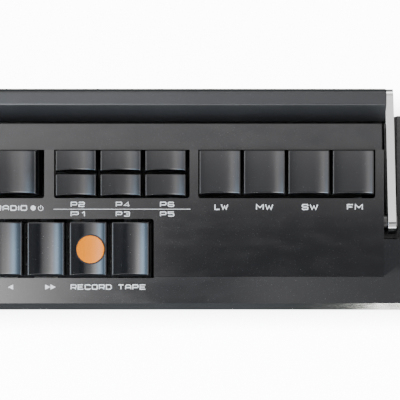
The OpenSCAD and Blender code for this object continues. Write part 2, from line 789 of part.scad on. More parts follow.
module circuit_board() {
    color("#8a6a34") box([-172, 7, board_z], [172, 36.8, board_z + board_t]);
    z = board_z + board_t;
    // switches under the sliding keys
    color("#dcdcd4") {
        for (i = [0:2], y = [12.4, 23.4]) translate([preset_left + preset_w / 2 + i * preset_pitch - 3.5, y - 3.5, z])
            cube([7, 7, 5]);
        for (x = [radio_left, for (i = [0:3]) band_left + i * band_pitch])
            translate([x + band_w / 2 - 4, 14, z]) cube([8, 8, 5]);
        for (x = slider_x) translate([x - 30, slider_y - 4.5, z]) cube([60, 9, 14]);
    }
    // coils, capacitors and a row of integrated circuits along the rear edge
    color("#b0b4b8") for (i = [0:6]) translate([-160 + 24 * i, 29.5, z]) cube([6, 6, 8]);
    color("#27476b") for (i = [0:8]) translate([30 + 15 * i, 32, z]) cylinder(r = 2.6, h = 7);
    color("#1b1b1b") for (i = [0:3]) translate([100 + 17 * i, 25, board_z - 4]) cube([12, 5, 4]);
}

// ---------- nodes ----------

front_cabinet();
rear_cabinet();
control_panel();
cabinet_screws();
rubber_feet();
battery_cover();
battery_cells();
grille(-1);  // left_grille
grille(1);  // right_grille
speaker_frames();
speaker_cones();
cassette_door();
door_window();
dial_scale();
dial_window();
dial_pointer();
tuning_knob();
transport_key(0);  // eject_key
transport_key(1);  // stop_key
transport_key(2);  // pause_key
transport_key(3);  // fast_forward_key
transport_key(4);  // play_key
transport_key(5);  // rewind_key
transport_key(6);  // record_key
transport_key(7);  // tape_key
record_mark();
key_shaft();
push_key(radio_left, band_w, row_front, row_rear, 1.2);  // radio_key
push_key(band_left, band_w, row_front, row_rear);  // long_wave_key
push_key(band_left + band_pitch, band_w, row_front, row_rear);  // medium_wave_key
push_key(band_left + 2 * band_pitch, band_w, row_front, row_rear);  // short_wave_key
push_key(band_left + 3 * band_pitch, band_w, row_front, row_rear);  // fm_key
preset_key(1);  // preset_key_1
preset_key(2);  // preset_key_2
preset_key(3);  // preset_key_3
preset_key(4);  // preset_key_4
preset_key(5);  // preset_key_5
preset_key(6);  // preset_key_6
slider(0);  // volume_slider
slider(1);  // tone_slider
slider(2);  // balance_slider
handle_grip();
mirror([1, 0, 0]) handle_arm();  // left_handle_arm
handle_arm();  // right_handle_arm
handle_pivots();
aerial_collar();
aerial_tube(0);  // aerial_outer_tube
aerial_tube(1);  // aerial_middle_tube
aerial_rod();
deck_chassis();
spindle(hub_x);  // supply_spindle
spindle(-hub_x);  // take_up_spindle
capstan_flywheel();
pinch_roller_arm();
pinch_roller();
head_carriage();
deck_motor();
motor_pulley();
drive_belt();
circuit_board();
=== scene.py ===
import math

import bmesh
import bpy
from mathutils import Matrix, Vector


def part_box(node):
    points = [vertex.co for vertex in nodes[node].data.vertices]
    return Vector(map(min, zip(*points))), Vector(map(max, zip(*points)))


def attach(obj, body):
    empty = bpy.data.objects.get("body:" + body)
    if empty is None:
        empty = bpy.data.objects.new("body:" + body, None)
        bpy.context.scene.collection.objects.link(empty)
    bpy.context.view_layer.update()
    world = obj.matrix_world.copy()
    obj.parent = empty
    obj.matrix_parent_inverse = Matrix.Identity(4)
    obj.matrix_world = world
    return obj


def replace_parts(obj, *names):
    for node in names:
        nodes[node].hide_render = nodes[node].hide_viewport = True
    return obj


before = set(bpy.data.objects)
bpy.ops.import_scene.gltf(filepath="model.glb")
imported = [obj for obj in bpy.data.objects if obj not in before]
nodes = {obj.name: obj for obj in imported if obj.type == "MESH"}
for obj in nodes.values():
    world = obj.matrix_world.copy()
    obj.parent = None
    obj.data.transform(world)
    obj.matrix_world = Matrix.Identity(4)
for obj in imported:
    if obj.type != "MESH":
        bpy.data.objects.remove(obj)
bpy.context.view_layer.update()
MM = 0.001

# ---- Camera ----
# It hangs above the right half of the top and looks straight down on the keys.
# There is no tilt, so no front or rear face shows.

CAMERA_X, CAMERA_Y, CAMERA_ABOVE_PANEL = 97.2, 5.7, 900
panel_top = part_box("control_panel")[1].z
camera = bpy.data.objects.new("camera", bpy.data.cameras.new("camera"))
camera.data.lens = 180
camera.data.sensor_width = 36
camera.location = (CAMERA_X * MM, CAMERA_Y * MM, panel_top + CAMERA_ABOVE_PANEL * MM)
bpy.context.collection.objects.link(camera)
bpy.context.scene.camera = camera


# ---- Cabinet halves ----
# The front and rear shells are injection-moulded black ABS with a fine spark-eroded grain.
# They meet on a flat joint and are held by six screws from the rear.

class Wire:
    """One socket of a material's nodes. Arithmetic adds Math nodes, and make adds any other node."""

    def __init__(self, tree, socket):
        self.tree, self.socket = tree, socket

    def make(self, kind, settings=None, values=None, out=0):
        node = self.tree.nodes.new("ShaderNode" + kind)
        for name, value in (settings or {}).items():
            if name == "stops":
                ramp = node.color_ramp
                while len(ramp.elements) < len(value):
                    ramp.elements.new(0.5)
                for element, (position, grey) in zip(ramp.elements, value):
                    element.position, element.color = position, (grey, grey, grey, 1)
            else:
                setattr(node, name, value)
        for name, value in (values or {}).items():
            socket = node.inputs[name]
            if isinstance(value, Wire):
                self.tree.links.new(value.socket, socket)
            else:
                socket.default_value = value
        return Wire(self.tree, node.outputs[out])

    def maths(self, operation, a, b=0.0):
        return self.make("Math", {"operation": operation}, {0: a, 1: b})

    def __add__(self, other):
        return self.maths("ADD", self, other)

    __radd__ = __add__

    def __mul__(self, other):
        return self.maths("MULTIPLY", self, other)

    __rmul__ = __mul__

    def __sub__(self, other):
        return self.maths("SUBTRACT", self, other)

    def __rsub__(self, other):
        return self.maths("SUBTRACT", other, self)

    def __gt__(self, other):
        return self.maths("GREATER_THAN", self, other)

    def ramp(self, *stops):
        return self.make("ValToRGB", {"stops": stops}, {"Fac": self})

    def noise(self, scale, detail=2.0, roughness=0.5):
        values = {"Vector": self, "Scale": scale, "Detail": detail, "Roughness": roughness}
        return self.make("TexNoise", None, values)

    def stretched(self, x, y, z):
        return self.make("Mapping", None, {"Vector": self, "Scale": (x, y, z)})

    def axis(self, name):
        return self.make("SeparateXYZ", None, {"Vector": self}, out="XYZ".index(name))

    def scaled(self, colour):
        """The colour, multiplied by this value."""
        return self.make("VectorMath", {"operation": "SCALE"}, {0: colour, "Scale": self})

    def blend(self, a, b):
        """Colour a where this value is 0, and colour b where it is 1."""
        a, b = (c if isinstance(c, Wire) else (*c, 1) for c in (a, b))
        return self.make("Mix", {"data_type": "RGBA"}, {0: self, 6: a, 7: b}, out=2)


def new_finish(name, **constants):
    """A material with its shader's fixed values set, that shader, and its object coordinates."""
    material = bpy.data.materials.new(name)
    material.use_nodes = True
    tree = material.node_tree
    shader = tree.nodes["Principled BSDF"]
    for socket, value in constants.items():
        shader.inputs[socket.replace("_", " ")].default_value = value
    place = Wire(tree, tree.nodes.new("ShaderNodeTexCoord").outputs["Object"])
    return material, shader, place


def wire_up(shader, **wires):
    for socket, wire in wires.items():
        wire.tree.links.new(wire.socket, shader.inputs[socket.replace("_", " ")])


def bump(height, strength, distance):
    """Strength is from 0 to 1, and distance is the relief's depth in metres."""
    return height.make("Bump", None, {"Height": height, "Strength": strength, "Distance": distance})


DUST_GREY = (0.32, 0.31, 0.29)


def moulded_plastic(name, dark, light, roughness, grain_scale, grain_depth, dust=0.0, coat=0.0, ior=1.5):
    """Black plastic: a fine grain, faint clouds in colour and gloss, and a little dust on upward faces."""
    material, shader, place = new_finish(name, IOR=ior, Coat_Weight=coat, Coat_Roughness=0.12)
    grain = place.noise(grain_scale, 2.0, 0.6)
    cloud = place.noise(28.0, 3.0, 0.55).ramp((0.35, 0.0), (0.7, 1.0))
    smear = place.stretched(1.0, 2.6, 1.0).noise(70.0, 4.0, 0.6).ramp((0.42, 0.0), (0.75, 1.0))
    facing = place.make("NewGeometry", out=1).axis("Z").ramp((0.6, 0.0), (1.0, 1.0))
    specks = place.noise(2600.0, 1.0, 0.5).ramp((0.70, 0.0), (0.78, 1.0))
    lint = specks * facing * (cloud * 0.7 + 0.3) * dust
    colour = lint.blend(cloud.blend(dark, light), DUST_GREY)
    wire_up(shader, Base_Color=colour, Normal=bump(grain, 0.6, grain_depth),
            Roughness=smear * 0.07 + grain * 0.05 + (roughness - 0.05) + lint * 0.2)
    return material


def finish(obj, material):
    obj.data.materials.clear()
    obj.data.materials.append(material)
    for polygon in obj.data.polygons:
        polygon.material_index = 0
    return obj


WELD_GAP, FLAT_WITHIN = 2e-6, 0.4


def ease_edges(name, width, segments=3, angle=32):
    """Gives a CAD node the small radius that its moulded or stamped edges have."""
    obj = nodes[name]
    for polygon in obj.data.polygons:
        polygon.use_smooth = True
    weld = obj.modifiers.new("weld", "WELD")
    weld.merge_threshold = WELD_GAP
    flat = obj.modifiers.new("flat", "DECIMATE")
    flat.decimate_type = "DISSOLVE"
    flat.angle_limit = math.radians(FLAT_WITHIN)
    if width:
        edge = obj.modifiers.new("edge", "BEVEL")
        edge.width, edge.segments = width * MM, segments
        edge.limit_method, edge.angle_limit = "ANGLE", math.radians(angle)
        edge.use_clamp_overlap = True
        edge.miter_outer = "MITER_ARC"
    shading = obj.modifiers.new("shading", "WEIGHTED_NORMAL")
    shading.weight, shading.thresh = 100, 0.1
    return obj


cabinet_black = moulded_plastic("cabinet_black", (0.013, 0.0135, 0.0145), (0.018, 0.0185, 0.0195),
                                roughness=0.14, grain_scale=2200.0, grain_depth=0.000004, dust=0.35, ior=1.58)
for name in ("front_cabinet", "rear_cabinet", "battery_cover"):
    finish(ease_edges(name, 0.45), cabinet_black)

# ---- Control panel ----
# One satin black moulding laid into the top, between the two shells. It carries the key wells,
# the slider slots and the white legends, which are screen printed.

panel_black = moulded_plastic("panel_black", (0.009, 0.009, 0.010), (0.012, 0.012, 0.013), roughness=0.13,
                              grain_scale=3000.0, grain_depth=0.000003, dust=0.35, coat=0.25, ior=1.62)
finish(ease_edges("control_panel", 0.28), panel_black)

print_white, shader, place = new_finish("print_white", IOR=1.5)
ink = place.noise(900.0, 3.0, 0.6)
wire_up(shader, Base_Color=ink.ramp((0.2, 0.0), (0.9, 1.0)).blend((0.80, 0.81, 0.80), (0.95, 0.95, 0.94)),
        Roughness=ink * 0.2 + 0.4)
PRINT_LIFT = 0.03
# Each letter's strokes are points on a grid of 8 by 8.
GLYPHS = {
    "A": "00 06 28 68 86 80|03 83", "B": "00 08 78 87 85 74 04|74 83 81 70 00",
    "C": "86 87 78 18 07 01 10 70 81 82", "D": "00 08 68 86 82 60 00", "E": "88 08 00 80|04 74",
    "F": "88 08 00|04 74", "G": "86 87 78 18 07 01 10 70 81 84 54", "I": "08 00", "K": "08 00|88 24 80",
    "L": "08 00 80", "M": "00 08 43 88 80", "N": "00 08 80 88", "O": "18 07 01 10 70 81 87 78 18",
    "P": "00 08 78 87 84 73 03", "R": "00 08 78 87 84 73 03|53 80",
    "S": "86 87 78 18 07 05 14 74 83 81 70 10 01 02", "T": "08 88|48 40", "U": "08 01 10 70 81 88",
    "V": "08 40 88", "W": "08 20 46 60 88", " ": "", "0": "18 07 01 10 70 81 87 78 18", "1": "26 88 80",
    "2": "07 18 78 87 85 74 14 03 00 80", "3": "07 18 78 87 85 74 83 81 70 10 01|34 74",
    "4": "60 68 02 82", "5": "88 08 05 75 84 81 70 10 01", "6": "87 78 18 07 01 10 70 81 83 74 04",
    "7": "08 88 30", "8": "14 05 07 18 78 87 85 74 14 03 01 10 70 81 83 74",
    "9": "01 10 70 81 87 78 18 07 05 14 84",
}
GLYPH_WIDTHS = {"I": 0.0, "1": 0.45, "M": 1.25, "W": 1.35, " ": 0.35}


class Artwork:
    """Flat artwork, drawn in millimetres on a plane, that becomes one thin piece."""

    def __init__(self):
        self.mesh = bmesh.new()

    def words(self, text, x, y, height, width, align="CENTER"):
        """Wide square capitals with even strokes and their middle line at y. width is the whole word's."""
        thick, gap = height * 0.19, 0.42
        sizes = [GLYPH_WIDTHS.get(letter, 1.0) for letter in text]
        stretch = (width - thick) / (sum(sizes) + gap * (len(text) - 1))
        pen = x + thick / 2 - {"CENTER": 0.5, "RIGHT": 1.0}[align] * width
        for letter, size in zip(text, sizes):
            for line in GLYPHS[letter].split("|"):
                grid = [(int(column) / 8, int(row) / 8) for column, row in line.split()]
                tall = height - thick
                self.stroke([Vector((pen + a * size * stretch, y + (b - 0.5) * tall)) for a, b in grid], thick)
            pen += (size + gap) * stretch

    def stroke(self, points, thick):
        """A band of even width along the points, mitred at its corners."""
        if not points:
            return
        closed = points[0] == points[-1]
        points = points[:-1] if closed else points
        count, sides = len(points), []
        for i, point in enumerate(points):
            before = point - points[i - 1] if closed or i else points[1] - point
            after = points[(i + 1) % count] - point if closed or i < count - 1 else before
            mean = (before.normalized() + after.normalized()).normalized()
            across = Vector((-mean.y, mean.x)) * thick / 2 / max(0.62, mean.dot(before.normalized()))
            sides.append((point + across, point - across))
        for i in range(count if closed else count - 1):
            (a, b), (c, d) = sides[i], sides[(i + 1) % count]
            self.shape([a, b, d, c])

    def shape(self, points):
        self.mesh.faces.new([self.mesh.verts.new(Vector((x, y, 0)) * MM) for x, y in points])

    def bar(self, x0, y0, x1, y1):
        self.shape([(x0, y0), (x1, y0), (x1, y1), (x0, y1)])

    def disc(self, x, y, r, steps=40):
        turn = [math.tau * i / steps for i in range(steps)]
        self.shape([(x + r * math.cos(t), y + r * math.sin(t)) for t in turn])

    def arc(self, x, y, r, thick, start, end, steps=32):
        turn = [math.radians(start + (end - start) * i / steps) for i in range(steps + 1)]
        rings = [[(x + q * math.cos(t), y + q * math.sin(t)) for t in turn]
                 for q in (r - thick / 2, r + thick / 2)]
        for i in range(steps):
            self.shape([rings[0][i], rings[1][i], rings[1][i + 1], rings[0][i + 1]])

    def piece(self, name, material, body, place=Matrix.Identity(4)):
        data = bpy.data.meshes.new(name)
        self.mesh.transform(place)
        bmesh.ops.recalc_face_normals(self.mesh, faces=self.mesh.faces)
        self.mesh.to_mesh(data)
        self.mesh.free()
        obj = bpy.data.objects.new(name, data)
        bpy.context.collection.objects.link(obj)
        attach(finish(obj, material), body)


legends = Artwork()
band_y, band_height = 2.55, 2.7
for text, x, width in (("LW", 106.8, 6.2), ("MW", 126.3, 7.8), ("SW", 146.7, 7.4), ("FM", 166.9, 7.2)):
    legends.words(text, x, band_y, band_height, width)
preset_upper_y, preset_lower_y, preset_height, preset_width = 3.75, -0.6, 2.35, 6.4
for i, x in enumerate((42.2, 62.5, 82.4)):
    legends.words(f"P{2 * i + 2}", x, preset_upper_y, preset_height, preset_width)
    legends.words(f"P{2 * i + 1}", x, preset_lower_y, preset_height, preset_width)
legends.bar(31.2, 1.45, 92.9, 1.67)
# Beside RADIO stand a dot and the sign for on and off.
legends.words("RADIO", 19.4, 2.1, 2.5, 14.6, "RIGHT")
legends.disc(22.1, 2.1, 1.15)
legends.arc(25.5, 2.0, 1.05, 0.28, -235, 55)
legends.bar(25.36, 2.0, 25.64, 3.45)
slider_y, slider_height, tick_foot, tick_step = 2.2, 2.3, 6.3, 4
for text, x, width in (("VOLUME", -147, 18.0), ("TONE", -90, 12.0), ("BALANCE", -33, 21.0)):
    legends.words(text, x, slider_y, slider_height, width)
    for i in range(11):
        tall = 1.6 if i % 5 == 0 else 0.9
        tick = x - 20 + tick_step * i
        legends.bar(tick - 0.11, tick_foot - tall, tick + 0.11, tick_foot)
legends.words("MIC", -148.5, -15.0, 2.2, 6.0)
legends.piece("panel_legends", print_white, "cabinet",
              Matrix.Translation((0, 0, panel_top + PRINT_LIFT * MM)))

# The front shell's sloping strip carries the tape symbols, one under each key.
strip = Artwork()
key_pitch, last_key = 18.95, 65.95
key_middle = [last_key - (7 - i) * key_pitch for i in range(8)]
play_sign, rewind_sign, half_arrow = 11.86, 29.85, 1.2


def arrow(art, x, y, size, way):
    tail, tip, half = x - way * size / 2, x + way * size / 2, size / 2
    art.shape([(tail, y - half), (tip, y), (tail, y + half)])


def eject_sign(art, x, y):
    art.shape([(x - 1.7, y - 0.2), (x + 1.7, y - 0.2), (x, y + 1.4)])
    art.bar(x - 1.7, y - 1.3, x + 1.7, y - 0.7)


eject_sign(strip, key_middle[0], 0)
strip.bar(key_middle[1] - 1.2, -1.2, key_middle[1] + 1.2, 1.2)
for side in (-1, 1):
    strip.bar(key_middle[2] + side * 0.85 - 0.4, -1.25, key_middle[2] + side * 0.85 + 0.4, 1.25)
    arrow(strip, key_middle[3] + side * half_arrow, 0, 2 * half_arrow, -1)
    arrow(strip, rewind_sign + side * half_arrow, 0, 2 * half_arrow, 1)
arrow(strip, play_sign, 0, 2 * half_arrow, -1)
strip.words("RECORD", 48.2, 0, 2.5, 18.6)
strip.words("TAPE", 66.5, 0, 2.5, 12.6)
strip_drop, strip_depth, strip_rear, sign_line = 2.2, 12.8, -28.8, -33.5
slope = math.atan(strip_drop / strip_depth)
sign_z = PRINT_LIFT - (strip_rear - sign_line) * math.tan(slope)
strip.piece("strip_legends", print_white, "cabinet",
            Matrix.Translation((0, sign_line * MM, panel_top + sign_z * MM))
            @ Matrix.Rotation(slope, 4, "X"))

# ---- Push keys ----
# Wave-band, preset and radio keys are solid caps of polished blue-black plastic, hollowed along their length
# for a fingertip. Each slides down on a stem that presses its switch.


def key_plastic(name, roughness):
    """Polished black plastic with fine hairline scratches, finger haze and a few specks of dust."""
    material, shader, place = new_finish(name, IOR=1.52, Coat_Weight=0.35, Coat_Roughness=0.04)
    haze = place.stretched(1.0, 0.45, 1.0).noise(140.0, 4.0, 0.6).ramp((0.4, 0.0), (0.72, 1.0))
    hairlines = place.stretched(9.0, 0.5, 1.0).noise(900.0, 2.0, 0.6).ramp((0.55, 0.0), (0.75, 1.0))
    specks = place.noise(2400.0, 1.0, 0.5).ramp((0.75, 0.0), (0.8, 1.0))
    tone = place.noise(45.0, 2.0, 0.5)
    clean = tone.blend((0.006, 0.0066, 0.008), (0.010, 0.011, 0.013))
    colour = (specks * 0.35).blend(clean, (0.35, 0.35, 0.34))
    wire_up(shader, Base_Color=colour, Roughness=haze * 0.08 + hairlines * 0.04 + specks * 0.2 + roughness,
            Normal=bump(hairlines, 0.12, 0.00002))
    return material


key_black = key_plastic("key_black", 0.05)
stem_black = moulded_plastic("stem_black", (0.008, 0.008, 0.009), (0.012, 0.012, 0.013), roughness=0.6,
                             grain_scale=1500.0, grain_depth=0.00002, dust=0.3)
# The hollow's depth and the rim beside it, how far the front edge's middle stands back, the cap's whole
# height, how much of it stands above the panel, and the radius of its edges.
HOLLOW, RIM, BOW, KEY_H, RISE, ROUND = 0.9, 0.6, 0.5, 9.0, 3.0, 0.42


def hollow_at(x, half):
    """How far a cap's top lies below its rims at x. The hollow is flatter in its middle than a round one."""
    return HOLLOW * (1 - min(1.0, abs(x) / (half - RIM)) ** 2.6)


def cap_mesh(width, depth, left, right, front):
    """A cap with rounded edges, its front edge at y = 0 and its top at KEY_H. Its skirt widens downwards."""
    mesh = bmesh.new()
    half, r = width / 2, ROUND
    side = [r * (1 - math.cos(math.pi / 2 * i / 5)) for i in range(6)]
    inner = [r + (RIM - r) * 0.5] + [RIM + (half - RIM) * (i / 14) ** 1.3 for i in range(14)]
    across = [-half + d for d in side + inner] + [0.0] + [half - d for d in reversed(side + inner)]
    lengthways = [r + (depth - 2 * r) * t for t in (0.01, 0.1, 0.35, 0.65, 0.9, 0.99)]
    along = side + lengthways + [depth - d for d in reversed(side)]

    def top_at(x, y):
        dx, dy = max(0.0, r - (half - abs(x))), max(0.0, r - min(y, depth - y))
        far = min(r, math.hypot(dx, dy))
        return KEY_H - hollow_at(x, half) - (r - math.sqrt(r * r - far * far))

    def bow(x, y):
        return BOW * (1 - (x / half) ** 2) * (1 - y / depth)

    rows = [[mesh.verts.new((x, y + bow(x, y), top_at(x, y))) for x in across] for y in along]
    for a, b in zip(rows, rows[1:]):
        for i in range(len(across) - 1):
            mesh.faces.new((a[i], a[i + 1], b[i + 1], b[i]))
    between = rows[1:-1]
    rim = rows[0] + [row[-1] for row in between] + rows[-1][::-1] + [row[0] for row in reversed(between)]

    def skirt_at(level):
        loop = []
        for v in rim:
            x, y, z = v.co
            down = (z - level) / KEY_H
            out_x = (-left if x < 0 else right) * down * min(1.0, abs(x) / half) ** 8
            loop.append(mesh.verts.new((x + out_x, y - front * down * (1 - y / depth) ** 8, level)))
        return loop

    waist, foot = skirt_at(KEY_H - RISE - 0.4), skirt_at(0.0)
    for upper, lower in ((rim, waist), (waist, foot)):
        for i in range(len(rim)):
            j = (i + 1) % len(rim)
            mesh.faces.new((upper[j], upper[i], lower[i], lower[j]))
    mesh.faces.new(foot[::-1])
    return mesh


def add_block(mesh, low, high):
    made = bmesh.ops.create_cube(mesh, size=1.0)["verts"]
    for v in made:
        v.co = Vector(((low[i] + high[i]) / 2 + v.co[i] * (high[i] - low[i]) for i in range(3)))


def as_piece(mesh, name, material, body, at=(0, 0, 0), smooth=35):
    """Turns a mesh drawn in millimetres into a piece that rides on a body."""
    data = bpy.data.meshes.new(name)
    bmesh.ops.recalc_face_normals(mesh, faces=mesh.faces)
    mesh.to_mesh(data)
    mesh.free()
    data.transform(Matrix.Translation(Vector(at) * MM) @ Matrix.Scale(MM, 4))
    obj = bpy.data.objects.new(name, data)
    bpy.context.collection.objects.link(obj)
    for polygon in data.polygons:
        polygon.use_smooth = True
    data.set_sharp_from_angle(angle=math.radians(smooth))
    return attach(finish(obj, material), body)


def stand_for(cap, node):
    """Puts a finished cap in its CAD key's place. What lies under the panel is left dull from the mould."""
    cap.data.materials.append(stem_black)
    for polygon in cap.data.polygons:
        if polygon.center.z < panel_top - 2 * MM:
            polygon.material_index = 1
    shading = cap.modifiers.new("shading", "WEIGHTED_NORMAL")
    shading.weight, shading.thresh = 100, 0.1
    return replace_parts(cap, node)


STEM_W, STEM_D, STEM_H = 5, 4, 10.3


def push_key(node, left_x, width, y0, y1, right=0.5):
    """A key whose top begins at left_x and y0. right is how far its skirt flares on the right."""
    mesh = cap_mesh(width, y1 - y0, 0.2, right, 0.9)
    middle = (y1 - y0) / 2
    add_block(mesh, (-STEM_W / 2, middle - STEM_D / 2, -STEM_H), (STEM_W / 2, middle + STEM_D / 2, 0.3))
    cap = as_piece(mesh, node + "_cap", key_black, node + "_body",
                   (left_x + width / 2, y0, panel_top / MM + RISE - KEY_H))
    return stand_for(cap, node)


row_front, row_rear, key_width = 8.5, 28.0, 18.3
push_key("radio_key", 5.2, key_width, row_front, row_rear, right=2.4)
for i, name in enumerate(("long_wave_key", "medium_wave_key", "short_wave_key", "fm_key")):
    push_key(name, 97.0 + 19.95 * i, key_width, row_front, row_rear)
for n in range(1, 7):
    y0, y1 = (18.9, row_rear) if n % 2 == 0 else (7.7, 17.3)
    push_key(f"preset_key_{n}", 32.5 + (n - 1) // 2 * 20.1, 18.0, y0, y1)

# ---- Tape keys ----
# Eight piano keys of the same plastic tip forward on one steel shaft. An arm joins each cap to the shaft,
# and a tail below it works the deck. The record key has an orange disc let into its hollow.

TAPE_KEY_W, LIP_HALF, ARM_HALF, ARM_R, ARM_JOIN_R = 16.4, 9.25, 3, 2.9, 2.95
key_front, key_rear, shaft_y, shaft_z = -28.1, -4.2, 3.0, -7.0
tail_front, tail_rear, tail_foot = -17, -12, -24
tape_keys = ("eject_key", "stop_key", "pause_key", "fast_forward_key", "play_key", "rewind_key", "record_key",
             "tape_key")
base = RISE - KEY_H


def round_bar(mesh, radius, x0, x1, y, z, steps=24):
    """A rod along X."""
    matrix = Matrix.Translation(((x0 + x1) / 2, y, z)) @ Matrix.Rotation(math.pi / 2, 4, "Y")
    bmesh.ops.create_cone(mesh, cap_ends=True, segments=steps, radius1=radius, radius2=radius, depth=x1 - x0,
                          matrix=matrix)


for name, x in zip(tape_keys, key_middle):
    mesh = cap_mesh(TAPE_KEY_W, key_rear - key_front, 0.3, 0.4, 0.0)
    shift_y, shift_z = shaft_y - key_front, shaft_z - base
    add_block(mesh, (-ARM_HALF, key_rear - 2 - key_front, shift_z - ARM_R),
              (ARM_HALF, shift_y - 1.7, shift_z + ARM_R))
    add_block(mesh, (-1, tail_front - key_front, tail_foot - base), (1, tail_rear - key_front, 0.4))
    # A lip round the skirt's foot closes the gaps to dust.
    add_block(mesh, (-LIP_HALF, -1.0, 0.0), (LIP_HALF, key_rear - key_front - 0.6, 0.8))
    for side in (-1, 1):
        round_bar(mesh, ARM_JOIN_R, side * 1.5 - 1.5, side * 1.5 + 1.5, shift_y, shift_z)
    cap = as_piece(mesh, name + "_cap", key_black, name + "_body",
                   (x, key_front, panel_top / MM + base))
    stand_for(cap, name)

mark_orange, shader, place = new_finish("mark_orange", IOR=1.3)
wear = place.noise(260.0, 4.0, 0.6)
wire_up(shader, Base_Color=wear.ramp((0.3, 0.0), (0.8, 1.0)).blend((0.86, 0.235, 0.0), (0.92, 0.26, 0.0)),
        Roughness=wear * 0.04 + 0.05)
mark_off, mark_r, mark_deep, seat_gap, seat_deep = 1.0, 6.2, 1.6, 0.6, 5.2
mark_x, mark_y = key_middle[6] + mark_off, (key_front + key_rear) / 2 - 0.3


def hollow_disc(r, middle, lift, depth, rings=14, steps=72):
    """A disc whose top follows the hollow of the key around it, with a small chamfer on its edge."""
    mesh = bmesh.new()
    chamfer = 0.12

    def top_at(x):
        return lift - hollow_at(x + middle, TAPE_KEY_W / 2)

    levels = [(r * (i + 1) / rings - (0.0 if i < rings - 1 else chamfer), 0.0) for i in range(rings)]
    levels += [(r, chamfer), (r, depth)]
    loops = [[mesh.verts.new((q * math.cos(t), q * math.sin(t), top_at(q * math.cos(t)) - down))
              for t in (math.tau * k / steps for k in range(steps))] for q, down in levels]
    for a, b in zip(loops, loops[1:]):
        for k in range(steps):
            mesh.faces.new((a[k], b[k], b[(k + 1) % steps], a[(k + 1) % steps]))
    centre = mesh.verts.new((0, 0, top_at(0)))
    for k in range(steps):
        mesh.faces.new((centre, loops[0][k], loops[0][(k + 1) % steps]))
    mesh.faces.new(loops[-1][::-1])
    return mesh


disc = as_piece(hollow_disc(mark_r, mark_off, 0.03, mark_deep), "record_disc", mark_orange, "record_key_body",
                (mark_x, mark_y, panel_top / MM + RISE), 30)
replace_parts(disc, "record_mark")
seat, seat_r = bmesh.new(), mark_r + seat_gap
bmesh.ops.create_cone(seat, cap_ends=True, segments=72, radius1=seat_r, radius2=seat_r, depth=seat_deep,
                      matrix=Matrix.Translation((mark_x, mark_y, panel_top / MM + RISE)))
cutter = bpy.data.objects.new("cutter", bpy.data.meshes.new("cutter"))
seat.to_mesh(cutter.data)
seat.free()
cutter.data.transform(Matrix.Scale(MM, 4))
bpy.context.collection.objects.link(cutter)
key = bpy.data.objects["record_key_cap"]
key.modifiers.clear()
cut = key.modifiers.new("cut", "BOOLEAN")
cut.object, cut.solver, cut.operation = cutter, "EXACT", "DIFFERENCE"
bpy.context.view_layer.update()
result = bpy.data.meshes.new_from_object(key.evaluated_get(bpy.context.evaluated_depsgraph_get()))
key.modifiers.remove(cut)
key.data = result
bpy.data.objects.remove(cutter)
result.set_sharp_from_angle(angle=math.radians(35))


def metal(name, colour, roughness, scale, turned=(1, 1, 1), wear_depth=0.000004, variation=0.15):
    """Bare or plated metal. turned gives the stretch of its fine tool marks along X, Y and Z."""
    material, shader, place = new_finish(name, Metallic=1.0)
    marks = place.stretched(*turned).noise(scale, 4.0, 0.65)
    patch = place.noise(60.0, 3.0, 0.6).ramp((0.35, 0.0), (0.75, 1.0))
    dull = tuple(c * (1 - variation) for c in colour)
    wire_up(shader, Base_Color=patch.blend(colour, dull),
            Roughness=marks * 0.12 + patch * 0.06 + (roughness - 0.06),
            Normal=bump(marks, 0.3, wear_depth))
    return material


zinc = metal("zinc_plate", (0.62, 0.61, 0.57), 0.34, 350.0)
finish(ease_edges("key_shaft", 0.2), zinc)
finish(ease_edges("cabinet_screws", 0.15), zinc)

# ---- Sliders ----
# Volume, tone and balance are linear controls. Their black caps are hollowed for a fingertip, carry a white
# index line, and run in shallow trays.

slider_black = key_plastic("slider_black", 0.2)
slider_middle, line_half, hollow_axis, hollow_r = 17.3, 6.4, 11.4, 8.4
line_z = panel_top / MM + hollow_axis - hollow_r
for name, body in (("volume_slider", "volume_slider_body"), ("tone_slider", "tone_slider_body"),
                   ("balance_slider", "balance_slider_body")):
    finish(ease_edges(name, 0.3), slider_black)
    low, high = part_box(name)
    line = bmesh.new()
    middle = (low.x + high.x) / 2 / MM
    add_block(line, (middle - 0.3, slider_middle - line_half, line_z - 0.05),
              (middle + 0.3, slider_middle + line_half, line_z + 0.06))
    as_piece(line, name + "_line", print_white, body)

# ---- Carrying handle ----
# A moulded grip bar joins two flat chromed steel arms. It folds down behind the top, and the arms turn
# on shouldered screws in slots at both ends of the panel.

chrome = metal("chrome", (0.95, 0.97, 0.97), 0.08, 900.0, turned=(1, 0.2, 1), wear_depth=0.000002,
               variation=0.05)
grip_black = moulded_plastic("grip_black", (0.026, 0.0265, 0.028), (0.032, 0.0325, 0.034), roughness=0.33,
                             grain_scale=2600.0, grain_depth=0.00002, dust=0.5, coat=0.2)
finish(ease_edges("handle_grip", 0.5, segments=4, angle=20), grip_black)
for name in ("left_handle_arm", "right_handle_arm"):
    finish(ease_edges(name, 0.7, segments=4), chrome)
finish(ease_edges("handle_pivots", 0.3), metal("pivot_steel", (0.10, 0.10, 0.10), 0.3, 500.0))

# ---- Speaker grilles ----
# Each grille is a pressed steel plate with long louvres, enamelled satin grey-black and clipped
# into a rebate in the front.

grille_enamel = moulded_plastic("grille_enamel", (0.028, 0.029, 0.031), (0.036, 0.037, 0.039), roughness=0.38,
                                grain_scale=1500.0, grain_depth=0.00001, dust=0.2)
GRILLE_RIM, GRILLE_CORNER, LOUVRES, LOUVRE_TALL = 6.0, 8.8, 24, 0.42


